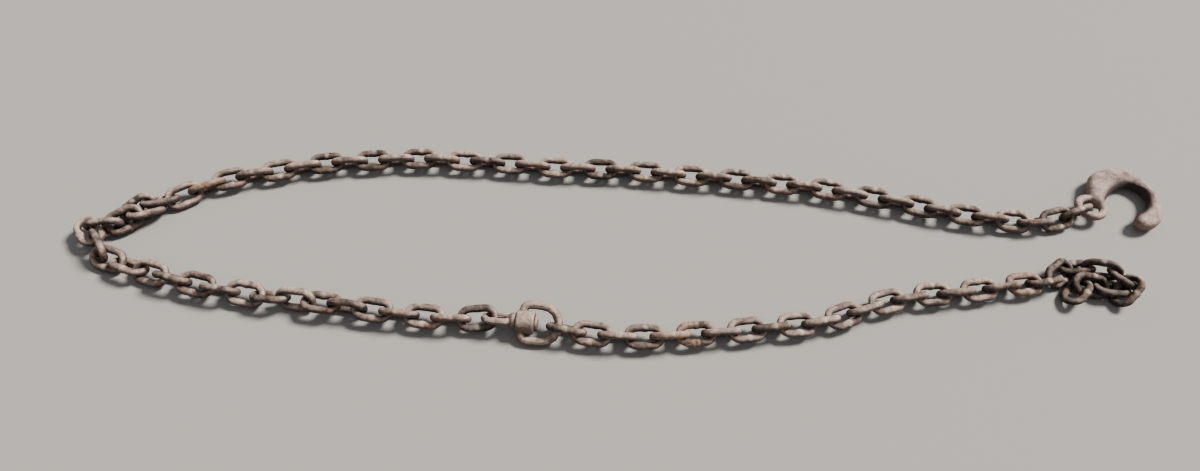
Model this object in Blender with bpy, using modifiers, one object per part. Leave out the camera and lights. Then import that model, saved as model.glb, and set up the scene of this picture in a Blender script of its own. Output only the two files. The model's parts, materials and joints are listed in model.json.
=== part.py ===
"""Heap of old steel chain: one welded chain lying in a long flat loop, with a forged slip
hook at one end, a swivel in the lower run and the free end dropped in a small heap.
Metres, +Z up. X runs along the loop, Y across it, and z = 0 is the floor."""
import math

import bmesh
import bpy
import numpy as np
from mathutils import Matrix, Vector

# Chain: half-inch proof coil, welded short links
WIRE = 0.0135              # wire diameter of a link
PITCH = 0.0462             # inside length of a link
INNER_WIDTH = 0.0205       # inside width of a link
CROWN_STEPS = 5            # straight steps in each half-round end
BAR_SIDES = 8              # sides of the round bars
SEAT_GAP = 0.0003          # clearance where one link bears in the next
RUST_BITE = 0.0006         # how deep two links that have rusted together sit in each other
LOW_LEAN = 10.0            # every other link lies this near to flat
STEEP_LEAN = 58.0          # the rest stand up between them, leaning the other way
PLAN_PITCH = 0.0462        # the pitch that the places on the floor below were set out for

# Slip hook, lying on its side with the eye end held up by the first link
EYE_AT = (0.921, 0.170, 0.0228)
EYE_RADIUS = 0.0245        # centreline radius of the eye
EYE_BAR = 0.015            # bar diameter of the eye
HOOK_THICK = 0.030         # thickness of the forged body
HOOK_EDGE = 0.0035         # rounding of the body's edges
HOOK_FAR = 0.14            # the bowl's far side lies beyond this, from the eye's middle
# the body's outline, from the eye's middle: round the outside to the tip, then back inside
HOOK_OUTLINE = [(0.006, 0.040), (0.012, 0.064), (0.022, 0.087), (0.042, 0.103), (0.064, 0.113),
                (0.087, 0.117), (0.109, 0.112), (0.129, 0.098), (0.145, 0.075), (0.152, 0.044),
                (0.147, 0.010), (0.134, -0.020), (0.113, -0.037), (0.092, -0.041),
                (0.083, -0.031), (0.093, -0.015), (0.111, -0.004), (0.125, 0.015),
                (0.130, 0.042), (0.122, 0.064), (0.104, 0.074), (0.079, 0.065), (0.053, 0.044),
                (0.036, 0.022), (0.022, 0.004), (0.004, 0.018)]

# Swivel
SW_AT = (-0.196, -0.202, 0.0237)   # where the eye's flange meets the bow's boss
SW_HEADING = -3.5
SW_LEAN = 30.0             # lean of the bow from flat
SW_EYE_LEAN = -38.0        # lean of the eye
SW_EYE_WIRE = 0.013
SW_EYE_INNER = 0.018       # inside width of the eye
SW_EYE_PITCH = 0.030       # inside length of the eye
SW_NECK = 0.012            # thickness of the eye's flange
SW_NECK_RADIUS = 0.0155
SW_GAP = 0.0006            # running gap between the flange and the boss
SW_BOSS = 0.032            # length of the bow's boss
SW_BOSS_RADIUS = 0.0205
SW_BOSS_EDGE = 0.003       # length of the boss's worn edges
SW_BOSS_FALL = 0.00164     # how far those edges fall away
SW_PIN_RADIUS = 0.008      # pin through the boss
SW_PIN_CLEAR = 0.0005      # running clearance round the pin
SW_HEAD = 0.006            # thickness of the pin's riveted head
SW_HEAD_RADIUS = 0.0125
SW_BOW_WIRE = 0.0155
SW_BOW_INNER = 0.048       # inside width of the bow
SW_BOW_FREE = 0.028        # free length from the pin's head to the bow's crown
SW_SHOULDER = 0.012        # radius where an arm of the bow turns forward from the boss
SW_ARM_ROOT = 0.003        # how far an arm's root reaches in past the bore's wall
ROUND_SIDES = 24           # sides of the swivel's turned pieces

# Links from the hook to the bend, from the swivel back to the bend, and on to the heap
TOP_RUN, LOW_RUN, FREE_RUN = 42, 16, 21
# the links that slack lets lie askew, counted along each run
TOP_ASKEW = (0, 1, 2, 3, 39, 40, 41)
LOW_ASKEW = (13, 14, 15)
FREE_ASKEW = (20,)

# Where the middle of the chain lies on the floor, along each run
TOP_ROUTE = [(0.854, 0.137), (0.800, 0.121), (0.709, 0.123), (0.625, 0.131), (0.541, 0.148),
             (0.454, 0.161), (0.362, 0.174), (0.273, 0.177), (0.182, 0.182), (0.090, 0.182),
             (0.000, 0.185), (-0.087, 0.182), (-0.179, 0.178), (-0.267, 0.181), (-0.357, 0.179),
             (-0.445, 0.176), (-0.534, 0.161), (-0.624, 0.144), (-0.707, 0.116), (-0.768, 0.095),
             (-0.827, 0.069), (-0.863, 0.037), (-0.904, 0.010), (-0.936, -0.012)]
LOW_ROUTE = [(-0.269, -0.208), (-0.360, -0.203), (-0.451, -0.198), (-0.581, -0.188),
             (-0.670, -0.181), (-0.751, -0.173), (-0.843, -0.153), (-0.938, -0.127),
             (-0.985, -0.112)]
FREE_ROUTE = [(-0.057, -0.218), (0.036, -0.214), (0.122, -0.200), (0.210, -0.185),
              (0.295, -0.166), (0.338, -0.159), (0.391, -0.138), (0.433, -0.116),
              (0.515, -0.085), (0.606, -0.069), (0.693, -0.047), (0.740, -0.037),
              (0.813, -0.021)]
# Extra lean of the links that roll over where the chain is twisted, counted along each run
TOP_TWIST = {0: 12, 1: -20, 2: -5, 3: -10, 38: -4, 39: -15, 40: -8, 41: -30}
LOW_TWIST = {0: -22, 4: 2, 5: 17, 6: 18, 7: 52, 8: 50, 9: 92, 10: 68, 11: 112, 12: 68, 13: 97,
             14: 60, 15: 62}
FREE_TWIST = {0: 6, 20: 8}
# Where each link of the bend lies before it settles: middle, heading, rise, lean
BEND = [((-0.921, -0.010, 0.020), 226, 0, 42), ((-0.945, -0.038, 0.020), 214, 0, -42),
        ((-0.979, -0.044, 0.032), 184, 3, 60), ((-0.9925, -0.061, 0.028), 312, -12, -5),
        ((-0.964, -0.102, 0.022), 296, 0, 76)]
# How the free end was dropped, each link hooked in the one before: heading, rise, lean, slack
HEAP = [(46, 10, 38, 0.0), (10, 8, -5, 0.0), (-16, 8, -58, 0.0), (-42, -14, 35, 0.002),
        (-128, -30, 0, 0.012), (176, -6, 45, 0.010), (150, 8, -40, 0.002),
        (-115, -6, 45, 0.004)]

GROWTH = PITCH / PLAN_PITCH         # longer links need longer runs
HALF = (INNER_WIDTH + WIRE) / 2     # half-width of a link's centreline
REACH = (PITCH + WIRE) / 2          # from a link's middle to the centre of its crown
BEAD_STEP = 0.0022                  # spacing of the points that stand for a bar


def unit(v):
    return v / np.linalg.norm(v)


def laid(place):
    """A place on the floor, or above it, moved out as far as the links have grown."""
    return np.array([place[0] * GROWTH, place[1] * GROWTH, *place[2:]])


def smooth_path(points, steps=24):
    """A smooth curve through the points, as a row of closer points."""
    p = [np.array(q, float) for q in points]
    p = [2 * p[0] - p[1]] + p + [2 * p[-1] - p[-2]]
    out = []
    for a, b, c, d in zip(p, p[1:], p[2:], p[3:]):
        for k in range(steps):
            t = k / steps
            out.append(0.5 * (2 * b + (c - a) * t + (2 * a - 5 * b + 4 * c - d) * t * t
                              + (3 * b - a - 3 * c + d) * t ** 3))
    out.append(p[-2])
    return np.array(out)


def ahead(heading, rise=0.0):
    """Unit vector along a heading in degrees from +X, rising from the floor."""
    h, r = math.radians(heading), math.radians(rise)
    return np.array([math.cos(h) * math.cos(r), math.sin(h) * math.cos(r), math.sin(r)])


def across(axis, lean):
    """Unit vector across a link that leans this many degrees from flat."""
    q = math.radians(lean)
    side = unit(np.cross((0.0, 0.0, 1.0), axis))
    return math.cos(q) * side + math.sin(q) * np.cross(axis, side)


def half_round(half, steps):
    """Corners of a half-round end of unit steps whose straights lie against the true arc."""
    out = half / math.cos(math.pi / (2 * steps))
    turns = [math.pi / 2 - math.pi * k / steps for k in range(1, steps)]
    return [(0.0, half)] + [(out * math.cos(t), out * math.sin(t)) for t in turns] + [(0.0, -half)]


def oval(pitch, wire, half):
    """Corners of a link's centreline in its own plane, its middle at the origin."""
    reach = (pitch + wire) / 2 - half
    end = [(x + reach, y) for x, y in half_round(half, CROWN_STEPS)]
    return np.array(end + [(-x, -y) for x, y in end])


def beads(corners, closed=True):
    """Points close together along a centreline."""
    ends = np.roll(corners, -1, axis=0) if closed else corners[1:]
    out = []
    for a, b in zip(corners, ends):
        n = max(1, math.ceil(np.linalg.norm(b - a) / BEAD_STEP))
        out += [a + (b - a) * k / n for k in range(n)]
    return np.array(out)


BEADS = beads(oval(PITCH, WIRE, HALF))


class Link:
    """A link's place: its middle, the direction it runs and the direction across it."""

    def __init__(self, centre, axis, cross):
        self.c, self.a, self.w = np.array(centre, float), axis, cross

    def points(self, flat=BEADS):
        return self.c + np.outer(flat[:, 0], self.a) + np.outer(flat[:, 1], self.w)


class Bow:
    """A round end that the next link bears in: its centre, radius, directions and bar."""

    def __init__(self, centre, radius, forward, cross, points, bar):
        self.centre, self.radius, self.forward, self.cross = centre, radius, forward, cross
        self.points, self.bar = points, bar

    def seat(self, a):
        """Where a bar pulled along a bears on the end's centreline."""
        d = unit((a @ self.forward) * self.forward + (a @ self.cross) * self.cross)
        return self.centre + self.radius * d


def resting(lean):
    """How high the middle of a leaning link lies."""
    return HALF * abs(math.sin(math.radians(lean))) + WIRE / 2


def leans(count, first, second, twist):
    """Each link's lean: the two kinds take turns, and the twist adds to some."""
    return [(second if k % 2 else first) + twist.get(k, 0) for k in range(count)]


def goal_on(path, joint, k):
    """The point of the route that lies one link beyond a joint, and its place on the route."""
    far = np.linalg.norm(path - joint[:2], axis=1)
    n = k
    while n < len(path) - 1 and far[n] < PITCH:
        n += 1
    if far[n] < PITCH:
        return joint[:2] + unit(path[-1] - path[-4]) * PITCH, n
    if n == k:
        return path[n], n
    t = (PITCH - far[n - 1]) / max(far[n] - far[n - 1], 1e-9)
    return path[n - 1] * (1 - t) + path[n] * t, n


def run_along(route, lean_row, bow, fused):
    """Links laid one after another along a route, each bearing in the one before it."""
    path = smooth_path([laid(p) for p in route])
    out, k = [], 0
    joint = bow.seat(bow.forward)
    far_half = BEADS[:, 0] > 0
    for i, lean in enumerate(lean_row):
        high = max(resting(lean), resting(lean_row[min(i + 1, len(lean_row) - 1)]))
        for again in range(4):
            goal, n = goal_on(path, joint, k)
            a = unit(np.array([goal[0], goal[1], high]) - joint)
            joint = bow.seat(a)
        w = across(a, lean)
        shape = np.outer(BEADS[:, 0] + REACH, a) + np.outer(BEADS[:, 1], w)
        crown = shape[BEADS[:, 0] < 0]
        need = (bow.bar + WIRE) / 2 + (-RUST_BITE if i in fused else SEAT_GAP)

        def room(s):
            q = crown + joint - a * s
            return np.linalg.norm(q[:, None] - bow.points[None], axis=2).min() - need
        s = 0.6 * need
        while room(s) < 0 and s < 0.6 * need + 0.02:
            s += 0.0003
        lo, hi = s - 0.0003, s
        for again in range(12):
            m = (lo + hi) / 2
            lo, hi = (m, hi) if room(m) < 0 else (lo, m)
        link = Link(joint - a * hi + a * REACH, a, w)
        out.append(link)
        bow = Bow(link.c + a * (REACH - HALF), HALF, a, w, link.points(BEADS[far_half]), WIRE)
        joint = link.c + a * REACH
        k = max(k, n - 2)
    return out


def drop(first, table):
    """A rough start for the heap: each link hooked in the one before."""
    out, prev = [], first
    for heading, rise, lean, slack in table:
        a = ahead(heading, rise)
        start = prev.c + prev.a * (REACH - slack) - unit(prev.a + a) * WIRE * 1.05
        out.append(Link(start + a * REACH, a, across(a, lean)))
        prev = out[-1]
    return out


def turn(link, spin):
    """Turn a link by a small rotation vector."""
    angle = np.linalg.norm(spin)
    if angle < 1e-9:
        return
    k = spin / angle
    for name in ("a", "w"):
        v = getattr(link, name)
        v = v * math.cos(angle) + np.cross(k, v) * math.sin(angle) \
            + k * (k @ v) * (1 - math.cos(angle))
        setattr(link, name, v)
    link.a = unit(link.a)
    link.w = unit(link.w - link.a * (link.w @ link.a))


SPREAD = 0.022              # how readily a link turns instead of sliding when pushed


def shove(link, point, push, n):
    """Push a link along n at a point of its bar."""
    arm = point - link.c
    link.c = link.c + push * n
    turn(link, push * np.cross(arm, n) / SPREAD ** 2)


def give(link, point, n):
    return 1 + (np.cross(point - link.c, n) ** 2).sum() / SPREAD ** 2


def part_pair(A, B, hooked, free_a, free_b):
    """Push two links apart where they meet, and draw a hooked pair together."""
    P, Q = A.points(), B.points()
    D = np.linalg.norm(P[:, None] - Q[None], axis=2)
    for again in range(3):
        p, q = np.unravel_index(np.argmin(D), D.shape)
        miss = WIRE + SEAT_GAP - D[p, q]
        if miss < 0 and not (hooked and again == 0):
            return
        n = (P[p] - Q[q]) / max(D[p, q], 1e-9)
        step = max(miss, -0.0006) * 0.5 if miss < 0 else miss
        soft = (give(A, P[p], n) if free_a else 0) + (give(B, Q[q], n) if free_b else 0)
        if free_a:
            shove(A, P[p], 0.7 * step / soft, n)
        if free_b:
            shove(B, Q[q], -0.7 * step / soft, n)
        if miss < 0:
            return
        near_p = np.linalg.norm(P - P[p], axis=1) < 0.01
        near_q = np.linalg.norm(Q - Q[q], axis=1) < 0.01
        D = np.where(near_p[:, None] | near_q[None], 9.0, D)


def settle(links, free, rounds=260, keep=0.03, sink=0.0002):
    """Push links apart where they meet, hold neighbours together and keep them off the floor."""
    aim = {i: (links[i].c.copy(), links[i].a.copy(), links[i].w.copy()) for i in free}
    span = range(max(0, min(free) - 1), min(len(links), max(free) + 2))
    up = np.array([0.0, 0.0, 1.0])
    for step in range(rounds):
        ease = max(0.0, 1 - step / (rounds * 0.7))
        for i in free:
            c, a, w = aim[i]
            L = links[i]
            L.c = L.c + keep * ease * (c - L.c) - up * sink * min(1, ease * 2)
            turn(L, keep * ease * (np.cross(L.a, a) + np.cross(L.w, w)) / 2)
        for i in span:
            for j in range(i + 1, span.stop):
                close = np.linalg.norm(links[i].c - links[j].c) < 2 * REACH + WIRE
                if close and (i in aim or j in aim):
                    part_pair(links[i], links[j], j == i + 1, i in aim, j in aim)
        for i in free:
            for again in range(2):
                P = links[i].points()
                p = np.argmin(P[:, 2])
                miss = WIRE / 2 - P[p, 2]
                if miss > 0:
                    shove(links[i], P[p], 0.8 * miss / give(links[i], P[p], up), up)


def bunches(run, askew):
    """Split a run into single links where they lie askew, and elsewhere into links rusted
    together by twos, with one three where the count is odd."""
    out, row = [], []
    for i in range(run):
        if i in askew:
            out += split_row(row) + [[i]]
            row = []
        else:
            row.append(i)
    return out + split_row(row)


def split_row(row):
    if len(row) % 2 and len(row) > 2:
        return [row[:3]] + [row[k:k + 2] for k in range(3, len(row), 2)]
    return [row[k:k + 2] for k in range(0, len(row), 2)]


TOP_BUNCHES = bunches(TOP_RUN, TOP_ASKEW)
LOW_BUNCHES = bunches(LOW_RUN, LOW_ASKEW)
FREE_BUNCHES = bunches(FREE_RUN, FREE_ASKEW)


def fused_in(groups):
    return {i for group in groups for i in group[1:]}


def hook_frame():
    """The hook's turn: tilted along its length until the bowl's far edge meets the floor."""
    reach = unit(np.mean([p for p in HOOK_OUTLINE if p[0] > HOOK_FAR], axis=0))
    far = max(np.array(p) @ reach for p in HOOK_OUTLINE)
    tilt = math.asin((EYE_AT[2] - HOOK_THICK / 2) / far)
    return Matrix.Rotation(tilt, 3, Vector((-reach[1], reach[0], 0.0)))


def hook_eye():
    """The hook's eye, as the round end that the first link bears in."""
    eye = laid(EYE_AT)
    to = unit(laid((*TOP_ROUTE[1], EYE_AT[2])) - eye)
    frame = np.array(hook_frame())
    forward, cross = frame @ to, frame @ np.cross((0.0, 0.0, 1.0), to)
    ring = [eye + EYE_RADIUS * (math.cos(q) * forward + math.sin(q) * cross)
            for q in np.linspace(-1.2, 1.2, 60)]
    return Bow(eye, EYE_RADIUS, forward, cross, np.array(ring), EYE_BAR)


class Swivel:
    """The swivel's places: the eye's and the bow's middles, directions and lengths."""

    def __init__(self):
        self.a = ahead(SW_HEADING)
        self.joint = laid(SW_AT)
        self.eye_half = (SW_EYE_INNER + SW_EYE_WIRE) / 2
        self.eye_reach = (SW_EYE_PITCH + SW_EYE_WIRE) / 2
        self.eye_c = self.joint - self.a * (SW_NECK + self.eye_reach)
        self.eye_w = across(self.a, SW_EYE_LEAN)
        self.bow_half = (SW_BOW_INNER + SW_BOW_WIRE) / 2
        self.boss_c = self.joint + self.a * (SW_GAP + SW_BOSS / 2)
        self.bow_reach = SW_BOSS / 2 + SW_HEAD + SW_BOW_FREE + SW_BOW_WIRE / 2
        self.bow_w = across(self.a, SW_LEAN)

    def eye_end(self):
        flat = beads(oval(SW_EYE_PITCH, SW_EYE_WIRE, self.eye_half))
        pts = self.eye_c + np.outer(flat[:, 0], self.a) + np.outer(flat[:, 1], self.eye_w)
        centre = self.eye_c - self.a * (self.eye_reach - self.eye_half)
        return Bow(centre, self.eye_half, -self.a, self.eye_w, pts, SW_EYE_WIRE)

    def bow_end(self):
        flat = beads(np.array(half_round(self.bow_half, CROWN_STEPS)), closed=False)
        centre = self.boss_c + self.a * (self.bow_reach - self.bow_half)
        pts = centre + np.outer(flat[:, 0], self.a) + np.outer(flat[:, 1], self.bow_w)
        return Bow(centre, self.bow_half, self.a, self.bow_w, pts, SW_BOW_WIRE)


def lay_chain(swivel):
    """Every link's place: the loop from the hook round to the swivel, and the free end."""
    top = run_along(TOP_ROUTE, leans(TOP_RUN, STEEP_LEAN, -LOW_LEAN, TOP_TWIST), hook_eye(),
                    fused_in(TOP_BUNCHES))
    low = run_along(LOW_ROUTE, leans(LOW_RUN, -LOW_LEAN, STEEP_LEAN, LOW_TWIST), swivel.eye_end(),
                    fused_in(LOW_BUNCHES))
    bow_tip = swivel.boss_c + swivel.a * swivel.bow_reach
    free = run_along([tuple(bow_tip[:2] / GROWTH)] + FREE_ROUTE,
                     leans(FREE_RUN, -STEEP_LEAN, LOW_LEAN, FREE_TWIST), swivel.bow_end(),
                     fused_in(FREE_BUNCHES))
    settle(top, [1, 2, 3], rounds=80)
    bend = [Link(laid(c), ahead(h, r), across(ahead(h, r), lean)) for c, h, r, lean in BEND]
    loop = top + bend + low[::-1]
    first_low = TOP_RUN + len(BEND)
    settle(loop, list(range(TOP_RUN - 3, first_low + len(LOW_ASKEW))))
    tail = free + drop(free[-1], HEAP)
    settle(tail, list(range(FREE_RUN - 1, len(tail))), keep=0.02, sink=0.0004)
    return top, bend, low, free, tail[FREE_RUN:]


def clear_scene():
    for obj in list(bpy.data.objects):
        bpy.data.objects.remove(obj, do_unlink=True)


def collection(name):
    out = bpy.data.collections.new(name)
    bpy.context.scene.collection.children.link(out)
    return out


def steel(name, color, roughness, metallic):
    mat = bpy.data.materials.new(name)
    mat.use_nodes = True
    shader = mat.node_tree.nodes["Principled BSDF"]
    shader.inputs["Base Color"].default_value = (*color, 1.0)
    shader.inputs["Roughness"].default_value = roughness
    shader.inputs["Metallic"].default_value = metallic
    mat.diffuse_color = (*color, 1.0)
    return mat


def placed(centre, axis, cross):
    """The matrix of a piece whose own X runs along axis and whose own Y runs across it."""
    up = np.cross(axis, cross)
    rows = [[axis[k], cross[k], up[k], centre[k]] for k in range(3)]
    return Matrix(rows + [[0, 0, 0, 1]])


def baked(name, curve, shape=None):
    """A curve made into a closed mesh, with its rings shaped before its caps are welded."""
    temp = bpy.data.objects.new(name, curve)
    bpy.context.scene.collection.objects.link(temp)
    bpy.context.view_layer.update()
    mesh = bpy.data.meshes.new_from_object(temp.evaluated_get(
        bpy.context.evaluated_depsgraph_get()))
    mesh.name = name
    bpy.data.objects.remove(temp, do_unlink=True)
    if shape:
        shape(mesh)
    bm = bmesh.new()
    bm.from_mesh(mesh)
    bmesh.ops.remove_doubles(bm, verts=bm.verts, dist=0.00005)
    bmesh.ops.recalc_face_normals(bm, faces=bm.faces)
    bm.to_mesh(mesh)
    bm.free()
    mesh.shade_smooth()
    return mesh


def mitre(mesh, corners, closed):
    """Widen the bar's rings at the corners, so that its straights keep their full thickness."""
    p = np.array(corners)
    for i in range(len(p)) if closed else range(1, len(p) - 1):
        before, after = unit(p[i] - p[i - 1]), unit(p[(i + 1) % len(p)] - p[i])
        widen = 1 / math.sqrt((1 + before @ after) / 2)
        for v in mesh.vertices[i * BAR_SIDES:(i + 1) * BAR_SIDES]:
            v.co.x = p[i][0] + (v.co.x - p[i][0]) * widen
            v.co.y = p[i][1] + (v.co.y - p[i][1]) * widen


def bar(name, corners, wire, closed=True):
    """A round bar along corners that lie in one plane."""
    curve = bpy.data.curves.new(name, "CURVE")
    curve.dimensions = "3D"
    curve.bevel_depth = wire / 2
    curve.bevel_resolution = BAR_SIDES // 2 - 2
    curve.use_fill_caps = True
    spline = curve.splines.new("POLY")
    spline.points.add(len(corners) - 1)
    for point, (x, y) in zip(spline.points, corners):
        point.co = (x, y, 0.0, 1.0)
    spline.use_cyclic_u = closed
    return baked(name, curve, lambda mesh: mitre(mesh, corners, closed))


def turned(name, profile):
    """A solid turned about its own X from (distance along X, radius) points."""
    mesh = bpy.data.meshes.new(name)
    bm = bmesh.new()
    rings = []
    for x, r in profile:
        rings.append([bm.verts.new((x, r * math.cos(q), r * math.sin(q)))
                      for q in np.arange(ROUND_SIDES) * 2 * math.pi / ROUND_SIDES])
    for near, far in zip(rings, rings[1:]):
        for k in range(ROUND_SIDES):
            m = (k + 1) % ROUND_SIDES
            bm.faces.new((near[k], near[m], far[m], far[k]))
    bm.faces.new(rings[0])
    bm.faces.new(rings[-1][::-1])
    bmesh.ops.recalc_face_normals(bm, faces=bm.faces)
    bm.to_mesh(mesh)
    bm.free()
    mesh.shade_smooth()
    mesh.set_sharp_from_angle(angle=math.radians(40))
    return mesh


class Yard:
    """The collections and materials that the chain's objects go in."""

    def __init__(self):
        self.parts = collection("steel_chain")
        self.cutters = collection("cutters")
        self.rust = (0.155, 0.098, 0.075)

    def piece(self, name, mesh, matrix, color=None):
        obj = bpy.data.objects.new(name, mesh)
        self.parts.objects.link(obj)
        obj.matrix_world = matrix
        if not mesh.materials:
            mesh.materials.append(None)
        obj.material_slots[0].link = "OBJECT"
        obj.material_slots[0].material = steel(name, color or self.rust, 0.85, 0.35)
        return obj

    def cutter(self, name, mesh, matrix):
        obj = bpy.data.objects.new(name, mesh)
        self.cutters.objects.link(obj)
        obj.matrix_world = matrix
        obj.hide_render = True
        obj.display_type = "WIRE"
        return obj

    def combine(self, obj, other, operation):
        step = obj.modifiers.new(f"{operation.lower()} {other.name}", "BOOLEAN")
        step.operation = operation
        step.solver = "EXACT"
        step.object = other


def build_links(yard, stem, links, groups):
    """One object for each link that lies askew, and one for each few rusted together."""
    mesh = bpy.data.meshes.get("link") or bar("link", oval(PITCH, WIRE, HALF), WIRE)
    for group in groups:
        name = "_".join([stem] + [f"{i + 1:02d}" for i in group])
        places = [placed(links[i].c, links[i].a, links[i].w) for i in group]
        obj = yard.piece(name, mesh, places[0])
        for i, place in zip(group[1:], places[1:]):
            joined = yard.cutter(f"{name}_joined_{i + 1:02d}", mesh, place)
            yard.combine(obj, joined, "UNION")


def build_hook(yard):
    curve = bpy.data.curves.new("hook_body", "CURVE")
    curve.dimensions = "2D"
    curve.fill_mode = "BOTH"
    curve.extrude = HOOK_THICK / 2
    curve.resolution_u = 2
    spline = curve.splines.new("BEZIER")
    spline.bezier_points.add(len(HOOK_OUTLINE) - 1)
    for point, (x, y) in zip(spline.bezier_points, HOOK_OUTLINE):
        point.co = (x, y, 0.0)
        point.handle_left_type = point.handle_right_type = "AUTO"
    spline.use_cyclic_u = True
    body = baked("hook_body", curve)
    body.set_sharp_from_angle(angle=math.radians(40))
    place = Matrix.Translation(laid(EYE_AT)) @ hook_frame().to_4x4()
    hook = yard.piece("slip_hook", body, place, (0.235, 0.150, 0.115))
    bevel = hook.modifiers.new("forged edges", "BEVEL")
    bevel.width = HOOK_EDGE
    bevel.segments = 2
    bevel.limit_method = "ANGLE"
    bevel.angle_limit = math.radians(60)
    bpy.ops.mesh.primitive_torus_add(major_segments=28, minor_segments=10,
                                     major_radius=EYE_RADIUS, minor_radius=EYE_BAR / 2)
    torus = bpy.context.object
    ring = yard.cutter("hook_eye", torus.data, place)
    bpy.data.objects.remove(torus, do_unlink=True)
    yard.combine(hook, ring, "UNION")


def build_swivel(yard, swivel):
    """The eye with its flange and pin, and the bow that turns on the pin."""
    eye_place = placed(swivel.eye_c, swivel.a, swivel.eye_w)
    eye = yard.piece("swivel_eye", bar("swivel_eye", oval(SW_EYE_PITCH, SW_EYE_WIRE,
                                                          swivel.eye_half), SW_EYE_WIRE), eye_place)
    flange = swivel.eye_reach + SW_NECK
    boss_end = flange + SW_GAP + SW_BOSS
    head = boss_end + SW_GAP
    stem = turned("swivel_stem", [
        (swivel.eye_reach - SW_EYE_WIRE / 4, SW_NECK_RADIUS * 0.6),
        (flange - SW_NECK / 2, SW_NECK_RADIUS), (flange, SW_NECK_RADIUS),
        (flange, SW_PIN_RADIUS), (head, SW_PIN_RADIUS), (head, SW_HEAD_RADIUS),
        (head + SW_HEAD / 2, SW_HEAD_RADIUS), (head + SW_HEAD, SW_HEAD_RADIUS * 0.7)])
    yard.combine(eye, yard.cutter("swivel_stem", stem, eye_place), "UNION")

    bow_place = placed(swivel.boss_c, swivel.a, swivel.bow_w)
    edge = SW_BOSS_RADIUS - SW_BOSS_FALL
    boss = turned("swivel_boss", [
        (-SW_BOSS / 2, edge), (-SW_BOSS / 2 + SW_BOSS_EDGE, SW_BOSS_RADIUS),
        (SW_BOSS / 2 - SW_BOSS_EDGE, SW_BOSS_RADIUS), (SW_BOSS / 2, edge)])
    bow = yard.piece("swivel_bow", boss, bow_place)
    inside = SW_PIN_RADIUS + SW_PIN_CLEAR + SW_BOW_WIRE / 2 - SW_ARM_ROOT
    start = swivel.bow_reach - swivel.bow_half
    bend = [(-SW_SHOULDER / 2 + SW_SHOULDER * (1 - math.cos(q)),
             swivel.bow_half - SW_SHOULDER * (1 - math.sin(q)))
            for q in np.linspace(0, math.pi / 2, 4)]
    arm = [(-SW_SHOULDER / 2, inside)] + bend
    crown = [(x + start, y) for x, y in half_round(swivel.bow_half, CROWN_STEPS + 2)]
    loop = bar("swivel_arms", arm + crown + [(x, -y) for x, y in arm[::-1]], SW_BOW_WIRE,
               closed=False)
    yard.combine(bow, yard.cutter("swivel_arms", loop, bow_place), "UNION")
    radius = SW_PIN_RADIUS + SW_PIN_CLEAR
    bore = turned("swivel_bore", [(-SW_BOSS, radius), (SW_BOSS, radius)])
    yard.combine(bow, yard.cutter("swivel_bore", bore, bow_place), "DIFFERENCE")


def put_on_floor(yard):
    """Move everything so that the middle of its outline lies over the origin, on the floor."""
    bpy.context.view_layer.update()
    graph = bpy.context.evaluated_depsgraph_get()
    corners = []
    for obj in yard.parts.objects:
        solid = obj.evaluated_get(graph)
        for v in solid.to_mesh().vertices:
            corners.append(obj.matrix_world @ v.co)
        solid.to_mesh_clear()
    corners = np.array(corners)
    low, high = corners.min(axis=0), corners.max(axis=0)
    middle = (low + high) / 2
    origin = bpy.data.objects.new("origin", None)
    yard.parts.objects.link(origin)
    for obj in list(yard.parts.objects) + list(yard.cutters.objects):
        if obj is not origin:
            obj.parent = origin
    origin.location = (-middle[0], -middle[1], -low[2])
    print("moved by", [round(float(v), 5) for v in origin.location])
    print("size", (high - low).round(4))


def main():
    clear_scene()
    yard = Yard()
    swivel = Swivel()
    top, bend, low, free, heap = lay_chain(swivel)
    build_links(yard, "top_link", top, TOP_BUNCHES)
    build_links(yard, "bend_link", bend, [[i] for i in range(len(bend))])
    build_links(yard, "lower_link", low, LOW_BUNCHES)
    build_links(yard, "free_link", free, FREE_BUNCHES)
    build_links(yard, "heap_link", heap, [[i] for i in range(len(heap))])
    build_hook(yard)
    build_swivel(yard, swivel)
    put_on_floor(yard)


main()
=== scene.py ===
# %% [markdown]
# # Heap of steel chain
# An old welded chain lies on the ground in a long flat loop. One end has a forged slip hook,
# the lower run has a swivel, and the free end was dropped in a small heap. The CAD solids are
# plain and eight-sided, so this scene gives every link a round, pitted bar of its own and
# gives the hook and the swivel the soft edges of a forging.

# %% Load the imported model
import json
import math

import bpy
import numpy as np
from mathutils import Matrix, Vector


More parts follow.
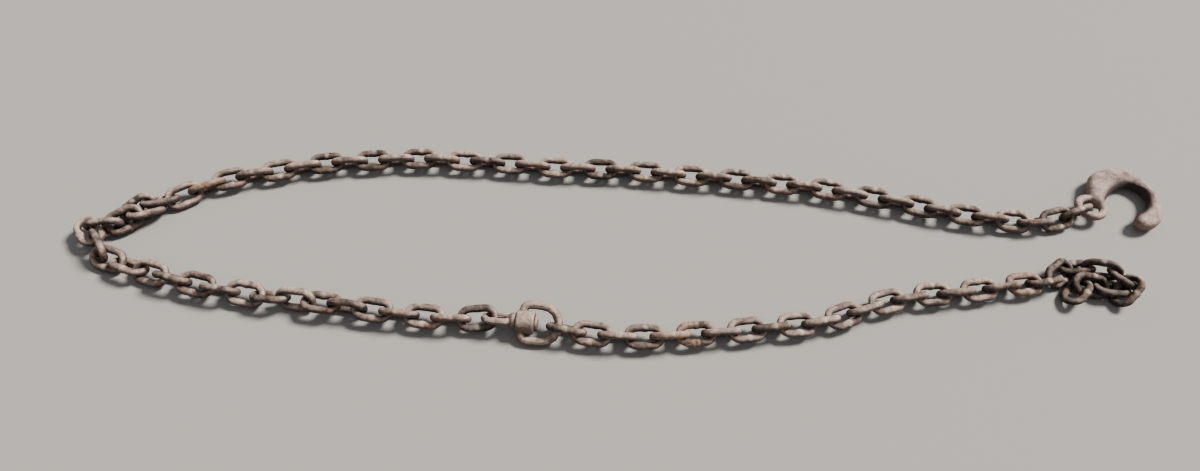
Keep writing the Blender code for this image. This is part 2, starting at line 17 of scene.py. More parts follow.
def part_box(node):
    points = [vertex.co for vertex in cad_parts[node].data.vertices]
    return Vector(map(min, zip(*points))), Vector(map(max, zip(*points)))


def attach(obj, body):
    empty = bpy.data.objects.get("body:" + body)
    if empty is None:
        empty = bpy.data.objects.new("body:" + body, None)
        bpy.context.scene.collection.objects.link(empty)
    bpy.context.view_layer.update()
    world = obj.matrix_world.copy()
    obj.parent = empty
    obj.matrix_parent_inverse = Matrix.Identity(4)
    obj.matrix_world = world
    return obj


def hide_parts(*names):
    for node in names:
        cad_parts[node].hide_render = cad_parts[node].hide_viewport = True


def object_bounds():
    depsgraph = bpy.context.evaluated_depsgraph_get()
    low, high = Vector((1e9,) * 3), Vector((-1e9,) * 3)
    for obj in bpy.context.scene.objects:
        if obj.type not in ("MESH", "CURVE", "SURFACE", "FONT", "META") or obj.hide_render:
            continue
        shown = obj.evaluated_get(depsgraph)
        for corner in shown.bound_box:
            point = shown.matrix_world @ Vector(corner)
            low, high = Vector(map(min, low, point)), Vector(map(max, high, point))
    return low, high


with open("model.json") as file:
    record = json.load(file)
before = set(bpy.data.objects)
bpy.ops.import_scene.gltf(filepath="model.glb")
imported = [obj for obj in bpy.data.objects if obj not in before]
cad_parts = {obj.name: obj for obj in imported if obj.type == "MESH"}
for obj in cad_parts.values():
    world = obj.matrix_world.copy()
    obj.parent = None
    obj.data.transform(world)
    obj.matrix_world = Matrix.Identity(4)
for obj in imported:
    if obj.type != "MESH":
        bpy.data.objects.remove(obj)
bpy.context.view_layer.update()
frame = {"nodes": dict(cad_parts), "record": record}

# %% [markdown]
# ## Camera
# The photograph was taken by hand from chest height, looking steeply down across the loop.
# Its lens sees about 67 degrees from side to side, and it was held four degrees off level.

# %% Camera
CAMERA_AT = (-0.0805, -1.1135, 1.3304)
LOOKS_DOWN = 50.0        # degrees below the horizon
HELD_ASKEW = 4.0         # degrees of roll
LENS_MM = 27.0
SENSOR_MM = 36.0

camera_data = bpy.data.cameras.new("camera")
camera_data.lens = LENS_MM
camera_data.sensor_width = SENSOR_MM
camera = bpy.data.objects.new("camera", camera_data)
bpy.context.scene.collection.objects.link(camera)
camera.matrix_world = (Matrix.Translation(CAMERA_AT)
                       @ Matrix.Rotation(math.radians(90 - LOOKS_DOWN), 4, "X")
                       @ Matrix.Rotation(math.radians(HELD_ASKEW), 4, "Z"))
bpy.context.scene.camera = camera
print("camera", CAMERA_AT, "looking down", LOOKS_DOWN, "degrees")

# %% [markdown]
# ## Where the links are
# A new link has to lie exactly where its solid lies. One solid may hold two or three links
# that have rusted together, so its box says too little. Instead, the corners of one single
# link serve as a pattern, and the pattern is fitted to the corners of each solid.

# %% Corners of a solid, and a link's own axes
WIRE = 0.0135            # diameter of a link's bar
PITCH = 0.0462           # inside length of a link
INNER_WIDTH = 0.0205     # inside width of a link
HALF = (INNER_WIDTH + WIRE) / 2
REACH = (PITCH + WIRE) / 2
LINK_LONG = PITCH + 2 * WIRE
PATTERN_NODE = "top_link_04"


def corners(node):
    """The different vertices of a solid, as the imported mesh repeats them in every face."""
    flat = np.zeros(3 * len(node.data.vertices), np.float32)
    node.data.vertices.foreach_get("co", flat)
    return np.unique(flat.reshape(-1, 3).astype(float).round(6), axis=0)


def own_axes(points):
    """Middle and axes of a link's corners. A link is alike on both sides of its three middle
    planes, so its middle is the mean corner and its axes are the eigenvectors of the
    corners' covariance: along, across and through the link, longest first."""
    middle = points.mean(axis=0)
    axes = np.linalg.eigh(np.cov((points - middle).T))[1]
    return middle, axes[:, ::-1].T


middle, axes = own_axes(corners(frame["nodes"][PATTERN_NODE]))
PATTERN = (corners(frame["nodes"][PATTERN_NODE]) - middle) @ axes.T
print("pattern of", len(PATTERN), "corners,", (1000 * np.ptp(PATTERN, axis=0)).round(1), "mm")

# %% Fit the pattern to a solid
NEAR_ROUNDS = (0.012, 0.008, 0.006, 0.004, 0.002, 0.001, 0.001, 0.001)   # closer each round
CROWN_CLEAR = 0.002      # how far short of the next link's bar a crown is cut off


def settle_on(points, middle, axes):
    """Moves a guessed link until its pattern falls on the solid's corners. Each pattern corner
    takes the nearest corner of the solid, near ones are kept, and the best turn and shift for
    them comes from a singular value decomposition. Repeated, this closes in on the link."""
    for near in NEAR_ROUNDS:
        here = middle + PATTERN @ axes
        gaps = np.linalg.norm(here[:, None] - points[None], axis=2)
        kept = gaps.min(axis=1) < near
        source, goal = PATTERN[kept], points[gaps.argmin(axis=1)][kept]
        u, _, vt = np.linalg.svd((source - source.mean(axis=0)).T @ (goal - goal.mean(axis=0)))
        axes = u @ np.diag([1, 1, np.sign(np.linalg.det(u @ vt))]) @ vt
        middle = goal.mean(axis=0) - source.mean(axis=0) @ axes
    here = middle + PATTERN @ axes
    gaps = np.linalg.norm(here[:, None] - points[None], axis=2).min(axis=1)
    return middle, axes, float(np.median(gaps))


def end_link(points, way):
    """The link at one end of a solid of several. The corners of its far crown stand clear of
    the next link, and they give its plane; its middle is half a link in from its end."""
    along = points @ way
    crown = points[along < along.min() + PITCH - CROWN_CLEAR]
    centre, crown_axes = own_axes(crown)
    through = crown_axes[2]
    forward = way - (way @ through) * through
    forward = forward / np.linalg.norm(forward)
    middle = centre + forward * (LINK_LONG / 2 - (centre @ forward - (crown @ forward).min()))
    return settle_on(points, middle, np.array([forward, np.cross(through, forward), through]))


def links_of(node, count):
    """Every link of a solid, from one end to the other."""
    points = corners(node)
    if count == 1:
        middle, axes = own_axes(points)
        return [(middle, axes, 0.0)]
    way = own_axes(points)[1][0]
    first, last = end_link(points, way), end_link(points, -way)
    if count == 2:
        return [first, last]
    forward = last[0] - first[0]
    forward = forward / np.linalg.norm(forward)
    through = np.cross(forward, first[1][2])
    through = through / np.linalg.norm(through)
    guess = np.array([forward, np.cross(through, forward), through])
    return [first, settle_on(points, (first[0] + last[0]) / 2, guess), last]


print("each fit closes in over", len(NEAR_ROUNDS), "rounds")

# %% Find all the links
class Link:
    """One link's place: its middle and its axes along, across and through it."""

    def __init__(self, name, node, middle, along, through):
        self.name = name
        self.node = node
        self.middle = middle
        self.along = along
        self.through = through
        self.across = np.cross(through, along)

    def place(self, points):
        """Points of the link's own frame, put where the link lies."""
        return self.middle + points @ np.array([self.along, self.across, self.through])


def box_middle(name):
    """The middle of a solid's box."""
    low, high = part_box(name)
    return np.array((low + high) / 2)


def find_run(stem, before):
    """The links of one run, numbered away from the piece that it starts at."""
    found, worst = [], 0.0
    for name in sorted(n for n in frame["nodes"] if n.startswith(stem)):
        numbers = name[len(stem) + 1:].split("_")
        fits = links_of(frame["nodes"][name], len(numbers))
        if np.linalg.norm(fits[0][0] - before) > np.linalg.norm(fits[-1][0] - before):
            fits.reverse()
        for number, (middle, axes, miss) in zip(numbers, fits):
            along = axes[0] * (1 if axes[0] @ (middle - before) > 0 else -1)
            through = axes[2] * (1 if axes[2][2] > 0 else -1)
            found.append(Link(f"{stem}_{number}", name, middle, along, through))
            before = middle
            worst = max(worst, miss)
    print(stem, len(found), "links, fitted within", round(1e6 * worst), "microns")
    return found


top = find_run("top_link", box_middle("slip_hook"))
bend = find_run("bend_link", top[-1].middle)
lower = find_run("lower_link", box_middle("swivel_eye"))
free = find_run("free_link", box_middle("swivel_bow"))
heap = find_run("heap_link", free[-1].middle)
links = top + bend + lower[::-1] + free + heap

# %% [markdown]
# ## Uneven iron
# Years of rust leave a bar lumpy: broad swellings from the rolling, scabs of scale a few
# millimetres wide and small pits. A sum of waves in random directions makes such a relief,
# and it needs no texture and no unwrapping. Every seed is fixed, so each run is the same.

# %% Relief
LUMP_WIDE = 0.022            # wavelength of the broad lumps
SCAB_WIDE = 0.0075           # of the scabs of scale
PIT_WIDE = 0.006             # of the pits
PIT_FROM = 1.1               # pits start where their field is this strong
WAVES = 18                   # cosines in one field


def waves(points, size, seed):
    """A smooth random field, from about -1 to 1: a sum of cosines over the root of their
    number, each with its own direction, a wavelength of 0.7 to 1.5 times the size and its
    own start."""
    random = np.random.default_rng(seed)
    ways = random.normal(size=(WAVES, 3))
    ways = ways / np.linalg.norm(ways, axis=1)[:, None]
    turns = 2 * math.pi / (size * random.uniform(0.7, 1.5, WAVES))
    starts = random.uniform(0, 2 * math.pi, WAVES)
    return np.cos(points @ (ways * turns[:, None]).T + starts).sum(axis=1) / math.sqrt(WAVES)


def relief(points, seed, lump=0.00022, scab=0.00016, pit=0.00035):
    """Height of rusted iron above its sound surface, in metres: broad lumps, finer scabs,
    and pits where a third field is deep."""
    broad = lump * waves(points, LUMP_WIDE, seed)
    scabs = scab * waves(points, SCAB_WIDE, seed + 1)
    pits = pit * np.clip(waves(points, PIT_WIDE, seed + 2) - PIT_FROM, 0, 1)
    return broad + scabs - pits


print("relief: lumps of", round(1000 * LUMP_WIDE, 1), "mm, scabs of", round(1000 * SCAB_WIDE, 1), "mm")

# %% Mesh from a grid


def closed_grid(name, points):
    """A mesh from a grid of points (rows, columns, 3) that closes on itself both ways."""
    rows, columns = points.shape[:2]
    i = np.arange(rows)[:, None] * columns
    j = np.arange(columns)[None]
    i_next = np.roll(i, -1, axis=0)
    j_next = np.roll(j, -1, axis=1)
    faces = np.stack([i + j, i_next + j, i_next + j_next, i + j_next], axis=2).reshape(-1, 4)
    mesh = bpy.data.meshes.new(name)
    mesh.from_pydata(points.reshape(-1, 3).tolist(), [], faces.tolist())
    mesh.shade_smooth()
    return mesh


def paint(mesh, name, values):
    """Stores one number a vertex, for the materials to read."""
    layer = mesh.attributes.new(name, "FLOAT", "POINT")
    layer.data.foreach_set("value", np.clip(values, 0, 1).astype(np.float32))


# %% [markdown]
# ## Links
# A link is a round bar bent to an oval and butt-welded in the middle of one side. Its crowns
# are rubbed thinner where the neighbours bear, and the weld stands a little proud. The bar
# is a circle carried along the oval: one parameter runs along the bar and one around it.

# %% A link's centreline
ALONG, AROUND = 92, 22       # points along the bar and around it
WELD_PROUD = 0.0007          # how far the weld stands proud
WELD_LONG = 0.0045           # half the weld's length
WELD_ASTRAY = 0.003          # how far from the middle of its side a weld may sit
CROWN_WORN = 0.0004          # how much the neighbours have worn off inside each crown
STRAIGHT = REACH - HALF      # half the length of a link's straight side


def oval(u):
    """Centreline at a share u of the way round: two straights and two half circles, and
    the direction that points out from the link there."""
    half_turn = math.pi * HALF
    length = 2 * (2 * STRAIGHT + half_turn)
    s = (u * length) % length
    side = s >= length / 2
    s = np.where(side, s - length / 2, s)
    turn = np.clip((s - 2 * STRAIGHT) / HALF, 0, math.pi)
    x = np.where(s < 2 * STRAIGHT, s - STRAIGHT, STRAIGHT + HALF * np.sin(turn))
    y = -HALF * np.cos(turn)
    out = np.stack([np.sin(turn), -np.cos(turn)], axis=1)
    flip = np.where(side, -1.0, 1.0)[:, None]
    return np.stack([x, y], axis=1) * flip, out * flip


CENTRE, OUT = oval(np.arange(ALONG) / ALONG)
print("link grid", ALONG, "by", AROUND, "points,", round(1000 * LINK_LONG, 1), "mm long")

# %% Forge one link


def forge_link(link, seed):
    """A link's mesh, and how rubbed each vertex is, which is painted paler as wear and as painted
    highlight: point = centre + radius * (cos v * out + sin v * through). The radius is the bar's,
    plus the weld's bump on one side and the relief, less the wear inside the crowns. Each link's
    weld sits on its own side."""
    random = np.random.default_rng(seed)
    v = 2 * math.pi * np.arange(AROUND) / AROUND
    centre = np.column_stack([CENTRE, np.zeros(ALONG)])
    out = np.column_stack([OUT, np.zeros(ALONG)])
    through = np.array([0, 0, 1.0])
    spoke = out[:, None] * np.cos(v)[None, :, None] + through * np.sin(v)[None, :, None]
    weld_side = random.choice([-1.0, 1.0])
    weld_at = random.uniform(-WELD_ASTRAY, WELD_ASTRAY)
    welded_side = CENTRE[:, 1] * weld_side > 0
    at_weld = np.exp(-((CENTRE[:, 0] - weld_at) / WELD_LONG) ** 4) * welded_side
    at_crown = np.clip((np.abs(CENTRE[:, 0]) - STRAIGHT) / HALF, 0, 1) ** 2
    inside = np.clip(-np.cos(v), 0, 1) ** 2
    radius = WIRE / 2 + WELD_PROUD * at_weld[:, None] * (1 + 0.3 * np.cos(3 * v + seed))
    radius = radius - CROWN_WORN * at_crown[:, None] * inside[None]
    skin = centre[:, None] + spoke * radius[:, :, None]
    flat = skin.reshape(-1, 3)
    flat = flat + spoke.reshape(-1, 3) * relief(flat + random.uniform(-1, 1, 3), seed)[:, None]
    mesh = closed_grid(link.name, link.place(flat).reshape(ALONG, AROUND, 3))
    # wear and painted highlight: the outside of each crown and the weld, paler where they face up
    rub_and_sheen = at_crown[:, None] * np.clip(np.cos(v), 0, 1)[None] + 0.6 * at_weld[:, None]
    return mesh, rub_and_sheen.reshape(-1)


print("a link will have", ALONG * AROUND, "vertices")

# %% [markdown]
# ## Crevices
# Where two links touch, the colour is painted darkest: partly dark rust that rain and dust
# don't reach, partly painted shade where the links shade each other. How close a point lies
# to a neighbour's bar is measured here, and each piece keeps it as an attribute.

# %% Crevices
CREVICE_SHADE_REACH = 0.008              # how far from a neighbour's bar the dark of the crevice reaches
NEIGHBOUR = 0.16             # links whose middles are nearer than this are looked at


def bead_line(link):
    """Every third point along a link's centreline, in the frame of the whole."""
    return link.place(np.column_stack([CENTRE, np.zeros(ALONG)]))[::3]


BEADS = [bead_line(link) for link in links]
MIDDLES = np.array([link.middle for link in links])


def crevice_rust_and_shade(points, middle, skip=None):
    """How deep a point lies between this piece and its neighbours, which sets its dark rust and
    painted shade: 1 where their bars touch, falling to 0 where the crevice ends."""
    close = np.linalg.norm(MIDDLES - middle, axis=1) < NEIGHBOUR
    depth = np.zeros(len(points))
    for k in np.flatnonzero(close):
        if k != skip:
            away = np.linalg.norm(points[:, None] - BEADS[k][None], axis=2).min(axis=1)
            depth = np.maximum(depth, np.clip(1 - (away - WIRE / 2) / CREVICE_SHADE_REACH, 0, 1) ** 1.5)
    return depth


print("crevices reach", round(1000 * CREVICE_SHADE_REACH, 1), "mm from the bars of", len(BEADS), "links")

# %% [markdown]
# ## Rust
# The whole chain shares one finish in several tones: dark purple-brown rust; paler, dusty
# pink-brown on what faces up and is rubbed, which is dust and wear and also painted highlight;
# near-black in crevices and on undersides, which is painted shade and in the crevices dark rust
# too; some orange bloom and a few blue-grey spots of mill scale. One node group mixes these,
# and each material sets its tones.

# %% Small helpers for shader nodes


def add(tree, kind, **settings):
    """A new node with some of its properties set."""
    node = tree.nodes.new(kind)
    for key, value in settings.items():
        setattr(node, key, value)
    return node


def noise(tree, where, scale, detail, rough):
    """A noise texture, its scale in features a metre."""
    node = add(tree, "ShaderNodeTexNoise")
    node.inputs["Scale"].default_value = scale
    node.inputs["Detail"].default_value = detail
    node.inputs["Roughness"].default_value = rough
    tree.links.new(where, node.inputs["Vector"])
    return node.outputs["Fac"]


def spread(tree, value, low, high, to_low=0.0, to_high=1.0):
    """Stretches a value from low..high to to_low..to_high, smoothly and without leaving it."""
    node = add(tree, "ShaderNodeMapRange", interpolation_type="SMOOTHSTEP")
    numbers = {"From Min": low, "From Max": high, "To Min": to_low, "To Max": to_high}
    for socket, number in numbers.items():
        node.inputs[socket].default_value = number
    tree.links.new(value, node.inputs["Value"])
    return node.outputs["Result"]


def step(tree, operation, a, b):
    """One arithmetic step between two values, either of which may be a plain number."""
    node = add(tree, "ShaderNodeMath", operation=operation)
    for socket, value in zip(node.inputs, (a, b)):
        if isinstance(value, (int, float)):
            socket.default_value = value
        else:
            tree.links.new(value, socket)
    return node.outputs[0]


def times(tree, a, b):
    return step(tree, "MULTIPLY", a, b)


def plus(tree, a, b):
    return step(tree, "ADD", a, b)


def mixed(tree, share, a, b):
    """Colour a turning to colour b as share goes from 0 to 1."""
    node = add(tree, "ShaderNodeMix", data_type="RGBA")
    tree.links.new(share, node.inputs["Factor"])
    tree.links.new(a, node.inputs["A"])
    tree.links.new(b, node.inputs["B"])
    return node.outputs["Result"]


def painted(tree, name):
    """The number that each vertex was painted with."""
    return add(tree, "ShaderNodeAttribute", attribute_name=name).outputs["Fac"]


print("helpers for noise, ranges, sums, mixes and painted numbers")

# %% Rust node group
TONES = ("Dark", "Body", "DustHighlightTone", "Orange", "Scale")
AMOUNTS = ("DustAndHighlight", "Rusty", "Scaly", "RubbedAndHighlight")
GRAIN = (1600, 3, 0.6)       # features a metre, detail and roughness of each noise
MOTTLE = (170, 3, 0.5)
PATCHES = (60, 2, 0.5)
STAINS = (24, 3, 0.5)
DARKEST = 0.92               # how far a crevice or an underside goes to the dark tone
PALEST = 0.9                 # how far a dusty or rubbed face goes to the dust tone, which is also painted highlight


def sockets(tree):
    """The group's inputs and outputs."""
    for name in TONES:
        tree.interface.new_socket(name, in_out="INPUT", socket_type="NodeSocketColor")
    for name in AMOUNTS:
        tree.interface.new_socket(name, in_out="INPUT", socket_type="NodeSocketFloat")
    tree.interface.new_socket("Color", in_out="OUTPUT", socket_type="NodeSocketColor")
    for name in ("Roughness", "Metallic", "Height"):
        tree.interface.new_socket(name, in_out="OUTPUT", socket_type="NodeSocketFloat")


def facing(tree):
    """How far a face looks up, and how far it looks down."""
    split = add(tree, "ShaderNodeSeparateXYZ")
    tree.links.new(add(tree, "ShaderNodeNewGeometry").outputs["Normal"], split.inputs[0])
    up = split.outputs["Z"]
    return spread(tree, up, 0.3, 1.0), spread(tree, up, 0.35, -0.6)


def rust_group():
    """The finish of rusted iron, with painted highlight and painted shade: tones and amounts in;
    colour, roughness, metal and height out. It reads the painted tone of each piece, its rub,
    which is wear and painted highlight, and its crevice, which is dark rust and painted shade."""
    tree = bpy.data.node_groups.new("rusted iron", "ShaderNodeTree")
    sockets(tree)
    given = add(tree, "NodeGroupInput").outputs
    made = add(tree, "NodeGroupOutput").inputs
    where = add(tree, "ShaderNodeTexCoord").outputs["Object"]
    grain, mottle, patches, stains = (noise(tree, where, *kind)
                                      for kind in (GRAIN, MOTTLE, PATCHES, STAINS))
    # deep is the crevice's dark rust and painted shade
    tone, rub_and_sheen, deep = (painted(tree, name) for name in ("tone", "rub_and_sheen", "crevice_rust_and_shade"))
    facing_up, underside_shade = facing(tree)

    # the body goes from dark to brown by patch and by the piece's own tone
    ground = plus(tree, times(tree, mottle, 0.35), times(tree, patches, 0.65))
    browner = spread(tree, plus(tree, ground, times(tree, tone, 0.6)), 0.42, 1.02)
    color = mixed(tree, browner, given["Dark"], given["Body"])
    # spots of mill scale, and stains of fresh rust
    scaly = times(tree, spread(tree, patches, 0.56, 0.68), given["Scaly"])
    color = mixed(tree, scaly, color, given["Scale"])
    rusty = times(tree, spread(tree, plus(tree, stains, mottle), 0.98, 1.22), given["Rusty"])
    color = mixed(tree, rusty, color, given["Orange"])
    # dust settles on what looks up and rubbing shows there; both are also painted highlight on the
    # faces that look up
    settled_dust_and_highlight = times(tree, facing_up, spread(tree, patches, 0.3, 0.62, 0.25, 1.0))
    wear_and_highlight = times(tree, times(tree, rub_and_sheen, facing_up), given["RubbedAndHighlight"])
    lighter = spread(tree, tone, 0.1, 0.9, 0.25, 1.0)
    dust_and_highlight = times(tree, settled_dust_and_highlight, times(tree, given["DustAndHighlight"], lighter))
    pale_dust_wear_highlight = step(tree, "MINIMUM", plus(tree, dust_and_highlight, wear_and_highlight), PALEST)
    uneven = spread(tree, mottle, 0.3, 0.6, 0.6, 1.0)
    color = mixed(tree, times(tree, pale_dust_wear_highlight, uneven), color, given["DustHighlightTone"])
    # painted shade: undersides and crevices go to the dark tone, and in the crevices it is dark rust
    # too
    shade = step(tree, "MAXIMUM", deep, times(tree, underside_shade, 0.8))
    color = mixed(tree, times(tree, shade, DARKEST), color, given["Dark"])

    smoother = spread(tree, plus(tree, mottle, wear_and_highlight), 0.3, 1.3, 0.92, 0.62)
    height = plus(tree, times(tree, mottle, 0.7), times(tree, grain, 0.3))
    tree.links.new(color, made["Color"])
    tree.links.new(smoother, made["Roughness"])
    tree.links.new(times(tree, plus(tree, wear_and_highlight, scaly), 0.35), made["Metallic"])
    tree.links.new(height, made["Height"])
    return tree


RUST = rust_group()
print("node group", RUST.name, "with", len(RUST.nodes), "nodes")

# %% The materials
BUMP_DEEP = 0.0009       # depth of the finest grain, in metres


def finish(name, tones, amounts, bump_deep=BUMP_DEEP):
    """A Principled material fed by the rust group. The tones and amounts come in the order
    of TONES and AMOUNTS."""
    material = bpy.data.materials.new(name)
    material.use_nodes = True
    tree = material.node_tree
    shader = tree.nodes["Principled BSDF"]
    rust = add(tree, "ShaderNodeGroup", node_tree=RUST)
    for socket, color in zip(TONES, tones):
        rust.inputs[socket].default_value = (*color, 1.0)
    for socket, amount in zip(AMOUNTS, amounts):
        rust.inputs[socket].default_value = amount
    tree.links.new(rust.outputs["Color"], shader.inputs["Base Color"])
    tree.links.new(rust.outputs["Roughness"], shader.inputs["Roughness"])
    tree.links.new(rust.outputs["Metallic"], shader.inputs["Metallic"])
    bump = add(tree, "ShaderNodeBump")
    bump.inputs["Distance"].default_value = bump_deep
    bump.inputs["Strength"].default_value = 0.8
    tree.links.new(rust.outputs["Height"], bump.inputs["Height"])
    tree.links.new(bump.outputs["Normal"], shader.inputs["Normal"])
    return material


# DARK is also the painted shade, and the dust tones are also the painted highlight
DARK = (0.016, 0.010, 0.009)
BROWN = (0.130, 0.078, 0.066)
DUST_AND_HIGHLIGHT = (0.720, 0.550, 0.450)
ORANGE = (0.310, 0.130, 0.058)
BLUE_GREY = (0.110, 0.098, 0.122)
FRESH_BODY, FRESH_RUST = (0.175, 0.100, 0.070), (0.340, 0.185, 0.110)   # links that rusted afresh
HOOK_DARK, HOOK_BODY = (0.030, 0.021, 0.019), (0.270, 0.180, 0.150)
HOOK_DUST_AND_HIGHLIGHT, HOOK_ORANGE = (0.640, 0.490, 0.420), (0.340, 0.185, 0.125)
SWIVEL_BODY, SWIVEL_DUST_AND_HIGHLIGHT = (0.170, 0.112, 0.092), (0.640, 0.490, 0.400)
HOOK_GRAIN = 0.0003      # the hook's grain is finer

chain_iron = finish("chain_iron", (DARK, BROWN, DUST_AND_HIGHLIGHT, ORANGE, BLUE_GREY), (0.95, 0.3, 0.6, 1.0))
bloom_iron = finish("bloom_iron", (DARK, FRESH_BODY, DUST_AND_HIGHLIGHT, FRESH_RUST, BLUE_GREY),
                    (0.6, 1.0, 0.2, 0.6))
hook_iron = finish("hook_iron", (HOOK_DARK, HOOK_BODY, HOOK_DUST_AND_HIGHLIGHT, HOOK_ORANGE, BLUE_GREY),
                   (0.8, 0.35, 0.15, 0.6), HOOK_GRAIN)
swivel_iron = finish("swivel_iron", (DARK, SWIVEL_BODY, SWIVEL_DUST_AND_HIGHLIGHT, ORANGE, BLUE_GREY),
                     (0.9, 0.25, 0.4, 0.8))
print("materials", [m.name for m in (chain_iron, bloom_iron, hook_iron, swivel_iron)])

# %% [markdown]
# ## Forging the chain
# Each link becomes an object of its own, which stands for the solid that it was found in. A
# few links have rusted afresh, in a paler tan, and the heap's links are darker in tone.

# %% Forge the chain
BLOOMED = {"top_link_39", "free_link_05", "free_link_06", "free_link_20"}
BODY = "root"
HEAP_DARKER = 0.8        # how much darker in tone the heap's links are
TONE = 0.5               # a link's tone: 0 is dark, 1 has the most dust and painted highlight
TONE_APART = 0.42        # how far one link's tone strays from that
TONE_ALONG = 0.15        # how far it strays along one link
APART, ALONG_BAR = 0.05, 0.03    # the wavelengths of those two


def show(name, mesh, material, slot, *nodes):
    """Makes a piece from a mesh that already lies in place, and has it stand for its solids."""
    mesh.materials.clear()
    mesh.materials.append(material)
    piece = bpy.data.objects.new(name, mesh)
    bpy.context.scene.collection.objects.link(piece)
    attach(piece, BODY)
    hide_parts(*nodes)


def vertices_of(mesh):
    """A mesh's vertices, as rows of three."""
    flat = np.zeros(3 * len(mesh.vertices), np.float32)
    mesh.vertices.foreach_get("co", flat)
    return flat.reshape(-1, 3).astype(float)


faces = 0
for k, link in enumerate(links):
    mesh, rub_and_sheen = forge_link(link, 10 * k + 7)
    points = vertices_of(mesh)
    tone = TONE + TONE_APART * waves(link.middle[None], APART, 5)[0]
    if link in heap:
        tone = tone - HEAP_DARKER
    paint(mesh, "tone", tone + TONE_ALONG * waves(points, ALONG_BAR, 3))
    # wear and painted highlight on the crowns and the weld
    paint(mesh, "rub_and_sheen", rub_and_sheen)
    # dark rust and painted shade where the links touch
    paint(mesh, "crevice_rust_and_shade", crevice_rust_and_shade(points, link.middle, k))
    material = bloom_iron if link.name in BLOOMED else chain_iron
    show(f"{link.name}_iron", mesh, material, "chain_steel", link.node)
    faces += len(mesh.polygons)
print(len(links), "links forged,", 2 * faces, "triangles")

# %% [markdown]
# ## Hook and swivel
# A forging has soft, uneven edges and fillets where its masses meet. The hook's solid is a
# plain plate with a ring, so its domed body is pressed anew from an outline. The swivel starts
# from its solids. A fine, even skin is wrapped over each, smoothed like clay and given the
# same kind of relief as the links. How sharply the skin curves then says where it is rubbed
# and painted paler, as wear and painted highlight, and where its hollows get painted shade.

# %% The hook's outline
HOOK_EYE = 0.0245            # centreline radius of the hook's eye
HOOK_EYE_BAR = 0.016         # bar diameter of the eye
EYE_GRID = (72, 24)          # points round the eye, and round its bar
HOOK_THICK = 0.031           # thickness of the pressed body
HOOK_ROUND = 0.019           # how far in from its outline the body still rounds off
HOOK_FLAT = 2.2              # 2 is a true round edge, more is flatter on top
HOOK_STEP = 0.0012           # spacing of the grid that the body is pressed on
# round the outside from the shoulder to the tip, then back along the inside to the eye
HOOK_OUTLINE = [(0.006, 0.040), (0.012, 0.064), (0.022, 0.087), (0.042, 0.103), (0.064, 0.113),
                (0.087, 0.117), (0.109, 0.112), (0.129, 0.098), (0.145, 0.075), (0.152, 0.044),
                (0.148, 0.010), (0.137, -0.021), (0.115, -0.040), (0.091, -0.043),
                (0.080, -0.031), (0.089, -0.013), (0.104, -0.002), (0.119, 0.014),
                (0.129, 0.042), (0.122, 0.064), (0.104, 0.074), (0.079, 0.065), (0.053, 0.044),
                (0.036, 0.022), (0.022, 0.004), (0.004, 0.018)]
OUTLINE_STEPS = 12           # points of the smooth curve for each point of the outline


def rounded(outline):
    """A smooth closed curve through the outline's points: between two of them it is a cubic
    that leaves each point in the direction from the one before to the one after it."""
    b = np.array(outline)
    a, c, d = np.roll(b, 1, axis=0), np.roll(b, -1, axis=0), np.roll(b, -2, axis=0)
    t = (np.arange(OUTLINE_STEPS) / OUTLINE_STEPS)[:, None, None]
    curve = 0.5 * (2 * b + (c - a) * t + (2 * a - 5 * b + 4 * c - d) * t ** 2
                   + (3 * b - a - 3 * c + d) * t ** 3)
    return curve.transpose(1, 0, 2).reshape(-1, 2)


def edge_of(points, curve):
    """For each point, the nearest point of the closed curve, and whether it lies inside: a
    ray to the right crosses the curve an odd number of times."""
    far = np.roll(curve, -1, axis=0)
    side = far - curve
    ahead = points[:, None] - curve[None]
    t = np.clip((ahead * side).sum(axis=2) / (side ** 2).sum(axis=1), 0, 1)
    near = curve + t[:, :, None] * side
    gaps = np.linalg.norm(points[:, None] - near, axis=2)
    best = gaps.argmin(axis=1)
    above = curve[None, :, 1] > points[:, None, 1]
    crosses = above != np.roll(above, -1, axis=1)
    rise = np.where(np.abs(side[:, 1]) < 1e-12, 1e-12, side[:, 1])
    right = curve[None, :, 0] + (points[:, None, 1] - curve[None, :, 1]) * side[:, 0] / rise
    inside = (crosses & (right > points[:, None, 0])).sum(axis=1) % 2 == 1
    rows = np.arange(len(points))
    return near[rows, best], gaps[rows, best], inside


HOOK_CURVE = rounded(HOOK_OUTLINE)
print("hook", (1000 * np.ptp(HOOK_CURVE, axis=0)).round(), "mm without its eye")

# %% A flat grid inside the outline


def outline_grid():
    """A flat grid of small squares that fills the outline: its points, its squares, which
    points lie on the rim, and how far in from the outline each point lies. A square is kept
    where its middle is inside, and the rim's points are drawn onto the outline."""
    low, high = HOOK_CURVE.min(axis=0) - HOOK_STEP, HOOK_CURVE.max(axis=0) + HOOK_STEP
    across, deep = (np.ceil((high - low) / HOOK_STEP)).astype(int) + 1
    x, y = np.meshgrid(low[0] + HOOK_STEP * np.arange(across),
                       low[1] + HOOK_STEP * np.arange(deep), indexing="ij")
    grid = np.stack([x, y], axis=2)
    centre = 0.25 * (grid[:-1, :-1] + grid[1:, :-1] + grid[:-1, 1:] + grid[1:, 1:])
    kept = edge_of(centre.reshape(-1, 2), HOOK_CURVE)[2]
    i, j = np.divmod(np.arange((across - 1) * (deep - 1)), deep - 1)
    first = (i * deep + j)[kept]
    quads = np.stack([first, first + deep, first + deep + 1, first + 1], axis=1)
    points = grid.reshape(-1, 2)
    uses = np.bincount(quads.ravel(), minlength=len(points))
    rim = (uses > 0) & (uses < 4)
    near, depth = edge_of(points, HOOK_CURVE)[:2]
    return np.where(rim[:, None], near, points), quads, rim, depth


GRID_POINTS, GRID_QUADS, GRID_RIM, GRID_DEPTH = outline_grid()
print(len(GRID_QUADS), "squares,", GRID_RIM.sum(), "points on the rim")

# %% Press the hook


